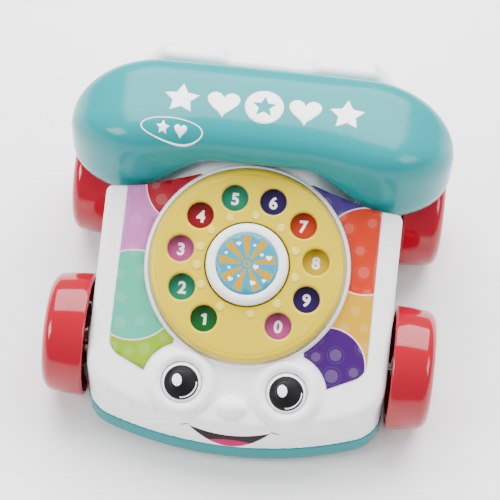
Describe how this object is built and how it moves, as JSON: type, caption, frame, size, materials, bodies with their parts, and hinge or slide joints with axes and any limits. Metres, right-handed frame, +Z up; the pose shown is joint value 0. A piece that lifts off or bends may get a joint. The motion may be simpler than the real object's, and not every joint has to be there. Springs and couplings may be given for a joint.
{
  "type": "pull-along toy telephone",
  "caption": "Rolling toy telephone: a wedge body with a smiling face, round dial with finger holes, lift-off handset in a cradle and glossy wheels.",
  "frame": {"origin": "on the floor under the middle of the toy", "axes": "+X to the right of someone facing the dial and face, +Y to the back under the handset, +Z up"},
  "size_m": [0.203, 0.186, 0.1278],
  "materials": {
    "white_plastic": "gloss moulded",
    "teal_plastic": "gloss moulded",
    "red_plastic": "high gloss moulded",
    "yellow_plastic": "satin gloss moulded",
    "printed_film": "printed adhesive film",
    "grey_plastic": "moulded",
    "black_plastic": "moulded",
    "board_green": "glass-epoxy board",
    "battery_jacket": "printed cell jacket",
    "steel": "plain"
  },
  "bodies": {
    "chassis": {"base_pan": "teal_plastic", "body_shell": "white_plastic", "printed_panel_left": "printed_film", "printed_panel_right": "printed_film", "number_plate": "yellow_plastic", "dial_spindle": "grey_plastic", "dial_retainer": "steel", "click_leaf": "steel", "circuit_board": "board_green", "button_switch": "grey_plastic", "sound_chip": "black_plastic", "speaker_frame": "steel", "speaker_cone": "black_plastic", "speaker_magnet": "steel", "battery_1": "battery_jacket", "battery_2": "battery_jacket", "battery_3": "battery_jacket", "battery_contact_1": "steel", "battery_contact_2": "steel", "battery_contact_3": "steel", "battery_contact_4": "steel", "battery_door": "teal_plastic", "battery_door_screw": "steel", "case_screw_1": "steel", "case_screw_2": "steel", "case_screw_3": "steel", "case_screw_4": "steel", "case_screw_5": "steel", "case_screw_6": "steel", "power_switch_body": "grey_plastic", "eye_bearing_left": "grey_plastic", "eye_bearing_right": "grey_plastic"},
    "rotary_dial": {"dial": "yellow_plastic", "click_wheel": "grey_plastic"},
    "button": {"hub_button": "white_plastic", "hub_sticker": "printed_film"},
    "eyes": {"eyeball_left": "white_plastic", "eyeball_right": "white_plastic", "eye_shaft": "steel", "eye_lever": "grey_plastic"},
    "front_wheelset": {"front_axle": "steel", "wheel_front_left": "red_plastic", "wheel_front_right": "red_plastic", "eye_cam": "grey_plastic"},
    "rear_wheelset": {"rear_axle": "steel", "wheel_rear_left": "red_plastic", "wheel_rear_right": "red_plastic"},
    "handset": {"handset_upper_shell": "teal_plastic", "handset_lower_cover": "teal_plastic", "earpiece_grille": "grey_plastic", "mouthpiece_grille": "grey_plastic", "handset_screw_1": "steel", "handset_screw_2": "steel"},
    "switch": {"power_switch_knob": "black_plastic"}
  },
  "joints": [
    {"name": "front_axle_spin", "type": "hinge", "parent": "chassis", "child": "front_wheelset", "pos_m": [0, -0.043, 0.0325], "axis": [1, 0, 0], "continuous": true},
    {"name": "rear_axle_spin", "type": "hinge", "parent": "chassis", "child": "rear_wheelset", "pos_m": [0, 0.0595, 0.0325], "axis": [1, 0, 0], "continuous": true},
    {"name": "dial_spin", "type": "hinge", "parent": "chassis", "child": "rotary_dial", "pos_m": [0, -0.01668, 0.07465], "axis": [0, -0.4226, 0.9063], "continuous": true},
    {"name": "button_press", "type": "slide", "parent": "chassis", "child": "button", "axis": [0, 0.4226, -0.9063], "range_m": [0, 0.002], "stiffness_N_per_m": 150},
    {"name": "eye_roll", "type": "hinge", "parent": "chassis", "child": "eyes", "pos_m": [0, -0.07176, 0.04323], "axis": [1, 0, 0], "range_deg": [-10, 20]},
    {"name": "handset_lift", "type": "slide", "parent": "chassis", "child": "handset", "axis": [0, 0, 1], "range_m": [0, 0.07]},
    {"name": "power_slide", "type": "slide", "parent": "chassis", "child": "switch", "axis": [0, 1, 0], "range_m": [0, 0.004]}
  ]
}
